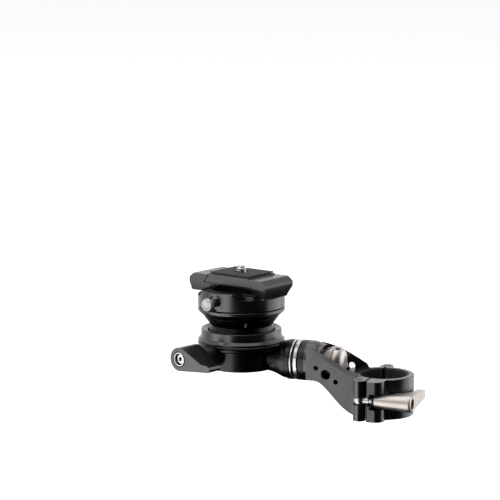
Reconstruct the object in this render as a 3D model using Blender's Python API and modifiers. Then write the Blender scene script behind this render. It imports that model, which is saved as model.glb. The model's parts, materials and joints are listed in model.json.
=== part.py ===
"""Levelling ball head on a swivel arm, with a lever clamp for a round upright tube.

The frame: the origin is the centre of the tube bore at half the height of the clamp band,
+Z runs up along the tube, and the arm leaves the clamp along -X to the head. Sizes below
are in millimetres, and every mesh is made in metres.
"""

import math

import bmesh
import bpy
from mathutils import Matrix, Vector

MM = 0.001
GAP = 0.3

# Tube clamp
TUBE_DIAMETER = 28.6
LINER_THICKNESS = 1.2
BAND_RADIUS = 19.0
BAND_HALF_HEIGHT = 12.5
SPLIT_X = -3.9
SPLIT_HALF_GAP = 0.6
BOLT_X = -8.4
BOLT_Y = -23.0
BARREL_RADIUS = 4.0
HINGE_Y = 22.8
HINGE_RADIUS = 3.8
HINGE_MIDDLE = 4.0
EAR_FRONT_Y = -27.0
BOLT_RADIUS = 2.0
LEVER_END = 33.4

# Arm joint and bracket, along the arm's axis
ARM_Z = 17.2
ARM_RADIUS = 12.7
SPINDLE_RADIUS = 4.9
BRACKET_HALF_WIDTH = 12.7
WALL = 2.1
COLLAR_X = -52.3
WINDOW_LEFT_X = -40.0
WINDOW_RIGHT_X = -23.2
NUT_RADIUS = 10.1

# Head: heights above the arm's axis
HEAD_X = -93.5
BALL_RADIUS = 21.3
BALL_HEIGHT = 12.0
DRUM_RADIUS = 21.7
FLANGE_RADIUS = 27.6
BASE_BOTTOM = -6.9
BASE_TOP = 10.1
COVER_RADIUS = 19.5
NECK_RADIUS = 19.6
NECK_HEIGHT = 20.3
CONE_RADIUS = 23.9
CONE_TOP = 26.5
PAN_RADIUS = 27.5
PAN_SEAM = 32.1
PAN_TOP = 39.5
RIM_TOP = 43.5
HUB_RADIUS = 9.0
RETAINER_RADIUS = 10.5

# Lock lever of the ball and thumb knob of the pan
LOCK_HEIGHT = 6.3
LOCK_HEADING = 248.0
LOCK_SCREW_RADIUS = 2.9
HUB_BACK = 41.0
HUB_FACE = 57.0
LEVER_HUB_RADIUS = 7.3
PAN_TURN = -18.5
PAN_KNOB_HEIGHT = 37.2

# Quick release clamp: u across the dovetail, v along it
CLAMP_HALF_LENGTH = 14.0
CLAMP_BOTTOM = 39.8
CHANNEL_FLOOR = 46.6
CLAMP_TOP = 52.0
JAW_LIP = 16.6
JAW_UNDERCUT = 19.4
FIXED_SIDE = 30.0
SLIDING_SIDE = -31.0
JAW_SPLIT = -14.0
JAW_SCREW_HEIGHT = 43.5


def clear_scene():
    for obj in list(bpy.data.objects):
        bpy.data.objects.remove(obj, do_unlink=True)


def new_collection(name):
    collection = bpy.data.collections.new(name)
    bpy.context.scene.collection.children.link(collection)
    return collection


def new_material(name, colour, metallic, roughness):
    material = bpy.data.materials.new(name)
    material.use_nodes = True
    shader = material.node_tree.nodes["Principled BSDF"]
    shader.inputs["Base Color"].default_value = (*colour, 1.0)
    shader.inputs["Metallic"].default_value = metallic
    shader.inputs["Roughness"].default_value = roughness
    material.diffuse_color = (*colour, 1.0)
    return material


clear_scene()
PARTS = new_collection("ball_head")
CUTTERS = new_collection("cutters")
FRAMES = new_collection("frames")

BLACK = new_material("black_anodised", (0.030, 0.030, 0.034), 0.6, 0.42)
TITANIUM = new_material("titanium_anodised", (0.52, 0.47, 0.43), 1.0, 0.30)
STEEL = new_material("polished_steel", (0.78, 0.78, 0.80), 1.0, 0.18)
DARK_STEEL = new_material("black_oxide_steel", (0.05, 0.05, 0.055), 0.9, 0.35)
POLYMER = new_material("black_polymer", (0.018, 0.018, 0.018), 0.0, 0.55)
RUBBER = new_material("black_rubber", (0.025, 0.025, 0.025), 0.0, 0.85)
BRASS = new_material("brass", (0.62, 0.47, 0.20), 1.0, 0.30)


# Frames


def frame(name, location, heading=None, turn=0.0, parent=None):
    """An empty. With a heading, its Z axis lies level and points that many degrees from +X."""
    empty = bpy.data.objects.new(name, None)
    empty.location = [value * MM for value in location]
    empty.rotation_euler = (0, 0, math.radians(turn))
    if heading is not None:
        empty.rotation_euler = (0, math.radians(90), math.radians(heading))
    empty.parent = parent
    FRAMES.objects.link(empty)
    return empty


CLAMP = frame("clamp_frame", (0, 0, 0))
ARM = frame("arm_axis", (0, 0, ARM_Z), heading=0)
HINGE = frame("jaw_hinge_axis", (SPLIT_X, HINGE_Y, 0))
JAW = frame("moving_jaw_frame", (-SPLIT_X, -HINGE_Y, 0), parent=HINGE)
BOLT_PIVOT = frame("bolt_pivot_axis", (BOLT_X, BOLT_Y, 0))
BOLT = frame("bolt_line", (0, 0, 0), heading=0, parent=BOLT_PIVOT)
HEAD = frame("head_axis", (HEAD_X, 0, ARM_Z))
TILT = frame("tilt_centre", (HEAD_X, 0, ARM_Z + BALL_HEIGHT))
BALL = frame("ball_frame", (0, 0, -BALL_HEIGHT), parent=TILT)
PAN = frame("pan_axis", (HEAD_X, 0, ARM_Z), turn=PAN_TURN)
LOCK = frame("lock_axis", (HEAD_X, 0, ARM_Z + LOCK_HEIGHT), heading=LOCK_HEADING)
PAN_KNOB = frame("pan_knob_axis", (HEAD_X, 0, ARM_Z + PAN_KNOB_HEIGHT), heading=PAN_TURN - 90)
JAW_SCREW = frame("jaw_screw_axis", (HEAD_X, 0, ARM_Z + JAW_SCREW_HEIGHT), heading=PAN_TURN + 180)


# Shapes


def place(name, mesh, parent, finish):
    """A part where a finish is given, and otherwise a helper for Booleans."""
    obj = bpy.data.objects.new(name, mesh)
    obj.parent = parent
    if finish:
        mesh.materials.append(finish)
        PARTS.objects.link(obj)
    else:
        obj.hide_render = True
        obj.display_type = "WIRE"
        CUTTERS.objects.link(obj)
    return obj


def mesh_of(name, form, at=(0, 0, 0)):
    mesh = bpy.data.meshes.new(name)
    bmesh.ops.recalc_face_normals(form, faces=form.faces[:])
    form.to_mesh(mesh)
    form.free()
    mesh.transform(Matrix.Translation(Vector(at) * MM))
    return mesh


def rod(name, parent, radius, low, high, finish=None, segments=16, at=(0, 0)):
    """A cylinder along the frame's Z axis, turned so that its edges miss those of turned faces."""
    form = bmesh.new()
    bmesh.ops.create_cone(
        form,
        cap_ends=True,
        segments=segments,
        radius1=radius * MM,
        radius2=radius * MM,
        depth=(high - low) * MM,
        matrix=Matrix.Rotation(math.radians(2.3), 4, "Z"),
    )
    mesh = mesh_of(name, form, (at[0], at[1], (low + high) / 2))
    return place(name, mesh, parent, finish)


def block(name, parent, low, high, finish=None):
    form = bmesh.new()
    bmesh.ops.create_cube(form, size=MM)
    sides = [b - a for a, b in zip(low, high)]
    bmesh.ops.scale(form, vec=sides, verts=form.verts[:])
    middle = [(a + b) / 2 for a, b in zip(low, high)]
    return place(name, mesh_of(name, form, middle), parent, finish)


def ball(name, parent, radius, centre=(0, 0, 0), segments=32, rings=24):
    form = bmesh.new()
    bmesh.ops.create_uvsphere(form, u_segments=segments, v_segments=rings, radius=radius * MM)
    return place(name, mesh_of(name, form, centre), parent, None)


def turned(name, parent, profile, finish=None, steps=32):
    """A profile of (radius, height) points turned round the frame's Z axis."""
    pairs = list(zip(profile, profile[1:] + profile[:1]))
    if sum(a[0] * b[1] - b[0] * a[1] for a, b in pairs) > 0:
        profile = profile[::-1]
    on_axis = profile[0][0] == 0 and profile[-1][0] == 0
    mesh = bpy.data.meshes.new(name)
    edges = [(i, i + 1) for i in range(len(profile) - 1)]
    if not on_axis:
        edges.append((len(profile) - 1, 0))
    mesh.from_pydata([(r * MM, 0, h * MM) for r, h in profile], edges, [])
    if not finish:
        mesh.transform(Matrix.Rotation(math.radians(1.7), 4, "Z"))
    obj = place(name, mesh, parent, finish)
    screw = obj.modifiers.new("turn", "SCREW")
    screw.axis = "Z"
    screw.angle = math.tau
    screw.steps = steps
    screw.render_steps = steps
    screw.use_merge_vertices = True
    screw.merge_threshold = 1e-6
    return obj


# An outline's (first, second) coordinates and its extrusion, as the frame's axes
PLANES = {
    "XY": Matrix.Identity(4),
    "XZ": Matrix(((1, 0, 0, 0), (0, 0, -1, 0), (0, 1, 0, 0), (0, 0, 0, 1))),
    "YZ": Matrix(((0, 0, 1, 0), (1, 0, 0, 0), (0, 1, 0, 0), (0, 0, 0, 1))),
}


def prism(name, parent, plane, outline, low, high, finish=None):
    """A flat outline extruded from low to high along the axis that its plane leaves out."""
    curve = bpy.data.curves.new(name, "CURVE")
    curve.dimensions = "2D"
    curve.fill_mode = "BOTH"
    curve.extrude = (high - low) / 2 * MM
    spline = curve.splines.new("POLY")
    spline.points.add(len(outline) - 1)
    for point, (x, y) in zip(spline.points, outline):
        point.co = (x * MM, y * MM, 0, 1)
    spline.use_cyclic_u = True
    guide = bpy.data.objects.new(name + "_outline", curve)
    FRAMES.objects.link(guide)
    graph = bpy.context.evaluated_depsgraph_get()
    solid = bpy.data.meshes.new_from_object(guide.evaluated_get(graph))
    bpy.data.objects.remove(guide, do_unlink=True)
    middle = (low + high) / 2 * (-1 if plane == "XZ" else 1)
    form = bmesh.new()
    form.from_mesh(solid)
    bmesh.ops.remove_doubles(form, verts=form.verts[:], dist=1e-7)
    bmesh.ops.transform(
        form,
        matrix=PLANES[plane] @ Matrix.Translation((0, 0, middle * MM)),
        verts=form.verts[:],
    )
    return place(name, mesh_of(name, form), parent, finish)


def loft_y(name, parent, first, first_y, second, second_y):
    """A solid between two (x, z) outlines that have the same number of points."""
    form = bmesh.new()
    rings = []
    for outline, y in ((first, first_y), (second, second_y)):
        rings.append([form.verts.new((x * MM, y * MM, z * MM)) for x, z in outline])
    count = len(first)
    for i in range(count):
        j = (i + 1) % count
        form.faces.new((rings[0][i], rings[0][j], rings[1][j], rings[1][i]))
    for ring in rings:
        form.faces.new(ring)
    bmesh.ops.triangulate(form, faces=form.faces[:])
    return place(name, mesh_of(name, form), parent, None)


def boolean(target, operation, pieces):
    for piece in pieces:
        modifier = target.modifiers.new(piece.name, "BOOLEAN")
        modifier.operation = operation
        modifier.object = piece


def join(target, *pieces):
    boolean(target, "UNION", pieces)


def cut(target, *pieces):
    boolean(target, "DIFFERENCE", pieces)


def keep_inside(target, piece):
    boolean(target, "INTERSECT", [piece])


def bezier(start, lead, trail, end, count=8):
    points = []
    for step in range(count + 1):
        t = step / count
        weights = ((1 - t) ** 3, 3 * t * (1 - t) ** 2, 3 * t * t * (1 - t), t**3)
        controls = (start, lead, trail, end)
        x = sum(w * p[0] for w, p in zip(weights, controls))
        y = sum(w * p[1] for w, p in zip(weights, controls))
        points.append((x, y))
    return points


def arc(centre, radius, start, end, count):
    """Points on a circle, from start to end in degrees."""
    angles = [math.radians(start + (end - start) * i / count) for i in range(count + 1)]
    return [(centre[0] + radius * math.cos(a), centre[1] + radius * math.sin(a)) for a in angles]


def ring_profile(inner, outer, low, high, edge=0.2):
    """A washer's section, with its outer edges broken."""
    return [
        (inner, high),
        (outer - edge, high),
        (outer, high - edge),
        (outer, low + edge),
        (outer - edge, low),
        (inner, low),
    ]


# Tube clamp and bracket


def band_solid(name, parent, finish):
    """The clamp's ring before it is bored and split."""
    edge = 0.4
    top = BAND_HALF_HEIGHT
    profile = [
        (0, top),
        (BAND_RADIUS - edge, top),
        (BAND_RADIUS, top - edge),
        (BAND_RADIUS, edge - top),
        (BAND_RADIUS - edge, -top),
        (0, -top),
    ]
    return turned(name, parent, profile, finish, steps=44)


def tube_bore(name, parent):
    radius = TUBE_DIAMETER / 2 + LINER_THICKNESS + GAP
    return rod(name, parent, radius, -40, 40, segments=44)


def knuckle(name, parent, low, high):
    return rod(name, parent, HINGE_RADIUS, low, high, at=(SPLIT_X, HINGE_Y))


def knuckle_room(name, parent, low, high):
    return rod(name, parent, HINGE_RADIUS + 0.4, low, high, at=(SPLIT_X, HINGE_Y))


def bracket_outline(top_edge, bevel):
    """One side wall of the bracket in (x, z); bevel lifts its top edge."""
    belly = bezier((-41.0, 7.2), (-33.5, 7.2), (-27.0, -8.0), (-15.5, -12.5))
    top = [(x, z + bevel) for x, z in top_edge]
    left = top_edge[0][0]
    end = (-12.0, -BAND_HALF_HEIGHT)
    shoulder = (-12.0, BAND_HALF_HEIGHT + bevel * 0.2)
    return [(left, 7.2)] + belly + [end, shoulder] + top[::-1]


def clamp_bracket():
    """The arm's collar, the windowed bracket and the fixed jaw, cut from one billet."""
    collar_end = WINDOW_LEFT_X
    groove = COLLAR_X + 1.2
    profile = [
        (6.3, COLLAR_X),
        (ARM_RADIUS - 0.4, COLLAR_X),
        (ARM_RADIUS, COLLAR_X + 0.4),
        (ARM_RADIUS, groove - 0.3),
        (ARM_RADIUS - 0.4, groove),
        (ARM_RADIUS, groove + 0.3),
        (ARM_RADIUS, -44.6),
        (12.4, -43.0),
        (11.8, -41.4),
        (10.9, collar_end),
        (6.3, collar_end),
    ]
    body = turned("clamp_bracket", ARM, profile, BLACK)

    front_top = bezier((-46.3, 24.1), (-38.5, 24.1), (-33.5, 20.5), (-19.5, 12.5))
    back_top = bezier((-46.3, 25.0), (-37.0, 25.0), (-28.5, 22.0), (-13.5, 13.2))
    outer, inner = BRACKET_HALF_WIDTH, BRACKET_HALF_WIDTH - WALL
    bevel = 2.3
    front = loft_y(
        "front_wall",
        CLAMP,
        bracket_outline(front_top, 0),
        -outer,
        bracket_outline(front_top, bevel),
        -inner,
    )
    back = loft_y(
        "back_wall",
        CLAMP,
        bracket_outline(back_top, 0),
        outer,
        bracket_outline(back_top, bevel),
        inner,
    )
    belly = bezier((-41.0, 7.2), (-33.5, 7.2), (-27.0, -8.0), (-15.5, -12.5))
    floor = [(x, z + 1.8) for x, z in belly if x < WINDOW_RIGHT_X]
    top = BAND_HALF_HEIGHT
    core = belly + [(-10, -top), (-10, top), (WINDOW_RIGHT_X, top)] + floor[::-1]
    web = prism("web", CLAMP, "XZ", core, -inner - 0.8, inner + 0.8)
    band = band_solid("fixed_band", CLAMP, None)
    barrel = rod("barrel", CLAMP, BARREL_RADIUS, -top, top, at=(BOLT_X, BOLT_Y))
    lug = block("barrel_lug", CLAMP, (-12.4, BOLT_Y, -top), (-4.6, -13.5, top))
    hood = turned("collar_hood", ARM, [(9.2, -41.2), (11.2, -41.2), (10.8, -36.2), (9.2, -36.2)])
    slant = [(-42.0, 23.0), (-40.0, 23.0), (-36.0, 29.6), (-42.0, 29.6)]
    keep_inside(hood, prism("hood_slant", CLAMP, "XZ", slant, -15, 15))
    join(body, front, back, web, band, barrel, lug, hood)

    rear = block("hinge_lug", CLAMP, (-7.7, 15, -top), (SPLIT_X - SPLIT_HALF_GAP, HINGE_Y, top))
    split = block("fixed_split", CLAMP, (SPLIT_X - SPLIT_HALF_GAP, -30, -30), (40, 30, 30))
    join(body, rear)
    cut(body, tube_bore("fixed_bore", CLAMP), split)
    for name, low, high in (
        ("upper", HINGE_MIDDLE + GAP, top),
        ("lower", -top, -HINGE_MIDDLE - GAP),
    ):
        join(body, knuckle(name + "_knuckle", CLAMP, low, high))
    room = knuckle_room("fixed_hinge_room", CLAMP, -HINGE_MIDDLE - GAP, HINGE_MIDDLE + GAP)
    hinge_hole = rod("hinge_hole", CLAMP, 2.2, -20, 20, at=(SPLIT_X, HINGE_Y))
    bolt_slot = block("bolt_slot", CLAMP, (-16, -30, -2.6), (-2, -18.9, 2.6))
    pivot_hole = rod("pivot_hole", CLAMP, 1.9, -20, 20, at=(BOLT_X, BOLT_Y))
    cut(body, room, hinge_hole, bolt_slot, pivot_hole)

    # The accessory face: a 1/4 inch thread between two anti-twist pin holes, 7.6 mm apart
    for name, x, z, radius in (
        ("pin_hole_high", -39.8, 15.4, 1.6),
        ("accessory_thread", -33.5, 11.6, 3.2),
        ("pin_hole_low", -27.0, 7.5, 1.6),
    ):
        cut(body, across(name, x, z, radius, -14, -9.9))
    cut(body, across("tommy_hole", -23.7, 13.4, 2.2, 9.9, 14))
    return body


def across(name, x, z, radius, low_y, high_y):
    """A cylinder along Y in the clamp's frame."""
    hole = rod(name, CLAMP, radius, low_y, high_y)
    hole.data.transform(Matrix.Rotation(math.radians(-90), 4, "X"))
    hole.data.transform(Matrix.Translation((x * MM, 0, z * MM)))
    return hole


def jaw_liner(name, parent, low_x, high_x):
    inner = TUBE_DIAMETER / 2
    liner = turned(
        name,
        parent,
        ring_profile(inner, inner + LINER_THICKNESS, -12.1, 12.1),
        RUBBER,
        steps=44,
    )
    keep_inside(liner, block(name + "_sector", parent, (low_x, -20, -20), (high_x, 20, 20)))
    return liner


def moving_jaw():
    top = BAND_HALF_HEIGHT
    left = SPLIT_X + SPLIT_HALF_GAP
    body = band_solid("moving_jaw", JAW, BLACK)
    ear = [(left, -14.0), (left, EAR_FRONT_Y + 0.7), (left + 0.7, EAR_FRONT_Y)]
    ear += [(2.2, EAR_FRONT_Y), (2.6, EAR_FRONT_Y + 0.45), (3.0, EAR_FRONT_Y + 0.1)]
    ear += arc((2.6, -20.5), 6.4, -80, 0, 6)
    ear += [(9.0, -14.5)]
    join(body, prism("ear", JAW, "XY", ear, -top, top))
    rear = block("moving_hinge_lug", JAW, (left, 15, -top), (SPLIT_X + HINGE_RADIUS, HINGE_Y, top))
    join(body, rear)
    split = block("moving_split", JAW, (-40, -30, -30), (left, 30, 30))
    cut(body, tube_bore("moving_bore", JAW), split)
    join(body, knuckle("middle_knuckle", JAW, -HINGE_MIDDLE, HINGE_MIDDLE))
    upper_room = knuckle_room("upper_room", JAW, HINGE_MIDDLE, 30)
    lower_room = knuckle_room("lower_room", JAW, -30, -HINGE_MIDDLE)
    hinge_hole = rod("moving_hinge_hole", JAW, 2.2, -20, 20, at=(SPLIT_X, HINGE_Y))
    cut(body, upper_room, lower_room, hinge_hole)

    # The washer seats on a shoulder that is round about the bolt's pivot, so the bolt swings free
    throat = block("throat", JAW, (-6, -30, -2.9), (12, -19.1, 2.9))
    pocket = block("pocket", JAW, (-2.4, -30, -5.0), (12, -18.4, 5.0))
    cut(pocket, rod("shoulder", JAW, 8.1, -10, 10, segments=32, at=(BOLT_X, BOLT_Y)))
    cut(body, throat, pocket)
    return body


def hinge_pins():
    pin = rod("jaw_hinge_pin", HINGE, 1.9, -12.4, 12.4, DARK_STEEL, segments=12)
    pivot = rod("bolt_pivot_pin", BOLT_PIVOT, 1.6, -12.4, 12.4, DARK_STEEL, segments=12)
    return pin, pivot


def swing_bolt():
    rim = [(2.7, 2.3), (3.3, 1.5), (3.6, 0.0), (3.3, -1.5), (2.7, -2.3)]
    eye = turned("swing_bolt", BOLT_PIVOT, [(1.9, 2.3)] + rim + [(1.9, -2.3)], STEEL, steps=24)
    end = 27.0
    shank = turned(
        "bolt_shank",
        BOLT,
        [
            (0, end),
            (BOLT_RADIUS - 0.4, end),
            (BOLT_RADIUS, end - 0.4),
            (BOLT_RADIUS, 6.4),
            (2.3, 6.1),
            (2.3, 2.2),
            (0, 2.2),
        ],
        steps=16,
    )
    join(eye, shank)
    cut(eye, rod("end_hole", BOLT, 1.3, 21.5, 30, segments=12))
    return eye


def bolt_end_screw():
    screw = turned(
        "bolt_end_screw",
        BOLT,
        [
            (0, 30.0),
            (2.8, 30.0),
            (3.1, 29.7),
            (3.1, 27.4),
            (1.0, 27.4),
            (1.0, 22.0),
            (0, 22.0),
        ],
        DARK_STEEL,
        steps=16,
    )
    cut(screw, rod("end_screw_socket", BOLT, 1.5, 28.6, 32, segments=6))
    return screw


def lever_washer():
    return turned("lever_washer", BOLT, ring_profile(2.3, 3.4, 8.4, 9.4), POLYMER, steps=24)


def clamp_lever():
    """The cam-shaped T lever: a long conical hub and a wing that hugs the band."""
    tip, root = 3.5, 5.2
    hub = turned(
        "clamp_lever",
        BOLT,
        [
            (0, LEVER_END),
            (root - 1.5, LEVER_END),
            (root - 0.7, LEVER_END - 0.4),
            (root - 0.15, LEVER_END - 1.0),
            (root, LEVER_END - 1.8),
            (tip + 0.1, 10.1),
            (tip - 0.2, 9.7),
            (0, 9.7),
        ],
        TITANIUM,
        steps=28,
    )
    end_x = LEVER_END + BOLT_X
    tip_y = 8.0
    start_x = 10.5
    outline = [(start_x, BOLT_Y), (start_x, -18.5)] + arc((-0.6, 0), 20.6, -51, 0, 8)
    outline += [(20.0, tip_y - 0.8), (20.8, tip_y)]
    outline += [(end_x - 0.9, tip_y), (end_x, tip_y - 0.9), (end_x, BOLT_Y)]
    wing = prism("wing", CLAMP, "XY", outline, -6, 6)
    thick, thin = 5.05, 2.27
    side = [(BOLT_Y - 1, thick), (tip_y + 1, thin), (tip_y + 1, -thin), (BOLT_Y - 1, -thick)]
    keep_inside(wing, prism("wing_taper", CLAMP, "YZ", side, 0, 40))
    narrow, wide = 4.1, 5.15
    front = [(start_x - 1, narrow), (end_x + 1, wide), (end_x + 1, -wide), (start_x - 1, -narrow)]
    keep_inside(wing, prism("wing_root", CLAMP, "XZ", front, -30, 20))
    join(hub, wing)
    bore = rod("lever_bore", BOLT, BOLT_RADIUS + GAP, 5, 27)
    mouth = rod("lever_mouth", BOLT, 3.5, 24.6, 40, segments=24)
    cut(hub, bore, mouth)
    return hub


# Arm joint


def arm_joint():
    bore = SPINDLE_RADIUS + GAP
    turned("thrust_ring", ARM, ring_profile(bore, ARM_RADIUS, -57.8, -56.3, 0.3), STEEL)
    turned("arm_slip_disc", ARM, ring_profile(bore, 11.8, -56.0, -55.5, 0.1), POLYMER)
    turned("arm_friction_ring", ARM, ring_profile(bore, ARM_RADIUS, -55.2, -52.6, 0.3), STEEL)
    turned("arm_bush", ARM, ring_profile(bore, 6.0, -52.3, WINDOW_LEFT_X - 0.1), POLYMER, steps=24)
    turned("nut_spring_washer", ARM, washer_profile(bore, 7.6, -39.7, -38.7), STEEL, steps=24)
    end = -27.3
    start = -69.2
    profile = [
        (0, end),
        (SPINDLE_RADIUS - 0.6, end),
        (SPINDLE_RADIUS, end - 0.6),
        (SPINDLE_RADIUS, start + 0.6),
        (SPINDLE_RADIUS - 0.6, start),
        (0, start),
    ]
    turned("arm_spindle", ARM, profile, STEEL, steps=24)


def washer_profile(inner, outer, low, high):
    """A coned spring washer: its outer edge leans back from its inner edge."""
    thickness = 0.5
    return [
        (inner, high),
        (outer, low + thickness),
        (outer, low),
        (inner, high - thickness),
    ]


def radial_holes(target, parent, radius, height, first, depth):
    """Four tommy-bar holes round a nut, the first at this many degrees."""
    for index in range(4):
        name = f"{target.name}_tommy_{index + 1}"
        hole = rod(name, parent, radius, depth, NUT_RADIUS + 3, segments=12)
        hole.data.transform(Matrix.Rotation(math.radians(90), 4, "Y"))
        turn = Matrix.Rotation(math.radians(first + 90 * index), 4, "Z")
        hole.data.transform(Matrix.Translation((0, 0, height * MM)) @ turn)
        cut(target, hole)


def tension_nut():
    bore = SPINDLE_RADIUS + GAP
    left, right = -38.4, -31.4
    profile = [
        (bore, right),
        (NUT_RADIUS - 0.3, right),
        (NUT_RADIUS, right - 0.4),
        (8.0, left + 0.4),
        (7.6, left),
        (bore, left),
    ]
    nut = turned("tension_nut", ARM, profile, TITANIUM, steps=28)
    radial_holes(nut, ARM, 1.6, -35.2, -168.0, 6.6)
    return nut


def dome_nut():
    bore = SPINDLE_RADIUS + GAP
    left, right = -31.1, -24.6
    length = right - left
    profile = [(0, right), (4.0, right)]
    for step in range(1, 6):
        angle = math.radians(90 - 18 * step)
        radius = 4.0 + (NUT_RADIUS - 4.0) * math.cos(angle)
        profile.append((radius, left + 1.2 + (length - 1.2) * math.sin(angle)))
    profile += [(NUT_RADIUS - 0.3, left), (bore, left), (bore, -26.8), (0, -26.8)]
    nut = turned("dome_nut", ARM, profile, TITANIUM, steps=28)
    radial_holes(nut, ARM, 1.5, -28.7, 108.0, 7.4)
    return nut


# Base and ball


def ball_pocket_height(radius, sphere):
    return BALL_HEIGHT - math.sqrt(sphere * sphere - radius * radius)


def base_body():
    """The drum with its flange, the arm's flared neck and the lug of the lock screw."""
    profile = [
        (0, 13.0),
        (23.9, 13.0),
        (23.9, BASE_TOP),
        (FLANGE_RADIUS - 0.5, BASE_TOP),
        (FLANGE_RADIUS, BASE_TOP - 0.6),
        (FLANGE_RADIUS, 8.2),
        (27.2, 6.9),
        (26.4, 6.3),
    ]
    cove = 2.6
    profile += [
        (DRUM_RADIUS + cove - cove * math.sin(a), 3.7 + cove * math.cos(a))
        for a in (math.radians(30 * step) for step in range(4))
    ]
    profile += [(DRUM_RADIUS, BASE_BOTTOM + 0.6), (DRUM_RADIUS - 0.6, BASE_BOTTOM), (0, BASE_BOTTOM)]
    body = turned("base_body", HEAD, profile, BLACK, steps=44)

    neck = [(0, -58.1), (ARM_RADIUS - 0.3, -58.1), (ARM_RADIUS, -58.4), (ARM_RADIUS, -60.6)]
    slim, flare_start, flare_end = 8.0, -61.0, -71.5
    for step in range(7):
        share = step / 6
        radius = slim + (12.4 - slim) * (1 + math.cos(math.pi * share)) / 2
        neck.append((radius, flare_start + (flare_end - flare_start) * share))
    neck += [(slim, -75.0), (0, -75.0)]
    lug = [(-3.5, -4.4), (-3.5, 4.4), (-1.5, 5.2), (6.0, 5.2), (9.0, 2.6)]
    lug += [(9.0, -2.6), (6.0, -5.2), (-1.5, -5.2)]
    join(body, turned("arm_neck", ARM, neck), prism("lock_lug", LOCK, "XY", lug, 19.5, HUB_BACK - 0.4))

    seat = BALL_RADIUS + GAP
    pocket = [(0, 14.0), (seat + 0.1, 14.0), (seat + 0.1, BALL_HEIGHT)]
    pocket += arc((0, BALL_HEIGHT), seat, -5, -41, 5)
    pocket += [(15.0, -3.4), (15.0, -4.9), (COVER_RADIUS + GAP, -4.9), (COVER_RADIUS + GAP, -9), (0, -9)]
    cut(body, turned("ball_pocket", HEAD, pocket, steps=44))
    cut(body, rod("lock_hole", LOCK, LOCK_SCREW_RADIUS + GAP, 17, 45))
    cut(body, rod("spindle_hole", ARM, SPINDLE_RADIUS + GAP, -69.5, -50, segments=24))
    for index, (x, y) in enumerate(cover_screw_places()):
        cut(body, rod(f"cover_tap_{index + 1}", HEAD, 1.5, -5.5, -3.2, segments=12, at=(x, y)))
    return body


def cover_screw_places():
    return [
        (17.4 * math.cos(angle), 17.4 * math.sin(angle))
        for angle in (math.radians(30 + 120 * index) for index in range(3))
    ]


def bottom_cover():
    bottom = BASE_BOTTOM
    top = -5.2
    profile = [
        (0, top),
        (COVER_RADIUS, top),
        (COVER_RADIUS, bottom + 0.3),
        (COVER_RADIUS - 0.3, bottom),
        (11.0, bottom),
        (10.6, bottom + 0.4),
        (0, bottom + 0.4),
    ]
    cover = turned("bottom_cover", HEAD, profile, BLACK)
    for index, (x, y) in enumerate(cover_screw_places()):
        name = f"cover_screw_{index + 1}"
        sink = turned(name + "_sink", HEAD, screw_profile(0.3), steps=12)
        sink.data.transform(Matrix.Translation((x * MM, y * MM, 0)))
        sink.location = (x * MM, y * MM, 0)
        sink.data.transform(Matrix.Translation((-x * MM, -y * MM, 0)))
        cut(cover, sink)
        screw = turned(name, HEAD, screw_profile(0), DARK_STEEL, steps=12)
        screw.location = (x * MM, y * MM, 0)
        cut(screw, socket_of(name, screw, -7.5, -6.3))
    return cover


def screw_profile(room):
    """A countersunk M2.5 screw, head down; room widens it into the hole it sits in."""
    head = BASE_BOTTOM - (2 if room else 0)
    top = -3.6 + room
    return [
        (0, top),
        (1.2 + room, top),
        (1.2 + room, -5.9 + room),
        (2.3 + room, BASE_BOTTOM + 0.2),
        (2.3 + room, head),
        (0, head),
    ]


def socket_of(name, screw, low, high):
    hole = rod(name + "_socket", HEAD, 1.0, low, high, segments=6)
    hole.location = screw.location
    return hole


def ball_collar():
    """The screwed ring that holds the ball down, with its wide chamfered mouth."""
    top = 18.0
    profile = [
        (23.7, top),
        (25.3, top),
        (25.7, top - 0.4),
        (25.7, 12.9),
        (27.4, 11.2),
        (27.4, BASE_TOP + 0.4),
        (24.2, BASE_TOP + 0.4),
        (24.2, 13.3),
        (23.5, 13.3),
        (23.5, 16.5),
        (21.3, 16.5),
        (21.3, 16.9),
    ]
    return turned("ball_collar", HEAD, profile, BLACK, steps=44)


def ball_friction_ring():
    low, high = 13.6, 16.2
    sphere = BALL_RADIUS + GAP
    heights = [low + (high - low) * step / 3 for step in range(4)]
    inner = [(math.sqrt(sphere**2 - (z - BALL_HEIGHT) ** 2), z) for z in heights]
    return turned("ball_friction_ring", HEAD, [(23.2, high), (23.2, low)] + inner, POLYMER, steps=44)


def tilt_ball():
    """The hollow ball, its neck and the cone that carries the pan."""
    low = math.degrees(math.asin((0.7 - BALL_HEIGHT) / BALL_RADIUS))
    high = math.degrees(math.acos(NECK_RADIUS / BALL_RADIUS))
    profile = [(4.3, CONE_TOP), (CONE_RADIUS - 0.3, CONE_TOP), (CONE_RADIUS, CONE_TOP - 0.3)]
    profile += arc((0, BALL_HEIGHT), BALL_RADIUS, high, low, 8)
    profile += [(16.4, 0.7), (17.6, 8.0), (16.4, 17.3), (13.0, 20.4), (4.3, 20.4)]
    body = turned("tilt_ball", BALL, profile, BLACK, steps=44)
    notch = block("index_notch", BALL, (21.0, -0.6, 21.8), (26.0, 0.6, 25.2))
    notch.rotation_euler = (0, 0, math.radians(-63))
    cut(body, notch)
    return body


def pan_base():
    """The skirt under the pan seam, with the hub that the pan turns on."""
    top = PAN_SEAM - GAP
    low = CONE_TOP + GAP
    profile = [
        (4.3, 38.8),
        (HUB_RADIUS - 0.3, 38.8),
        (HUB_RADIUS, 38.5),
        (HUB_RADIUS, top),
        (PAN_RADIUS - 0.4, top),
        (PAN_RADIUS, top - 0.4),
        (PAN_RADIUS, 29.6),
        (24.2, low),
        (4.3, low),
    ]
    return turned("pan_base", BALL, profile, BLACK, steps=44)


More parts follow.
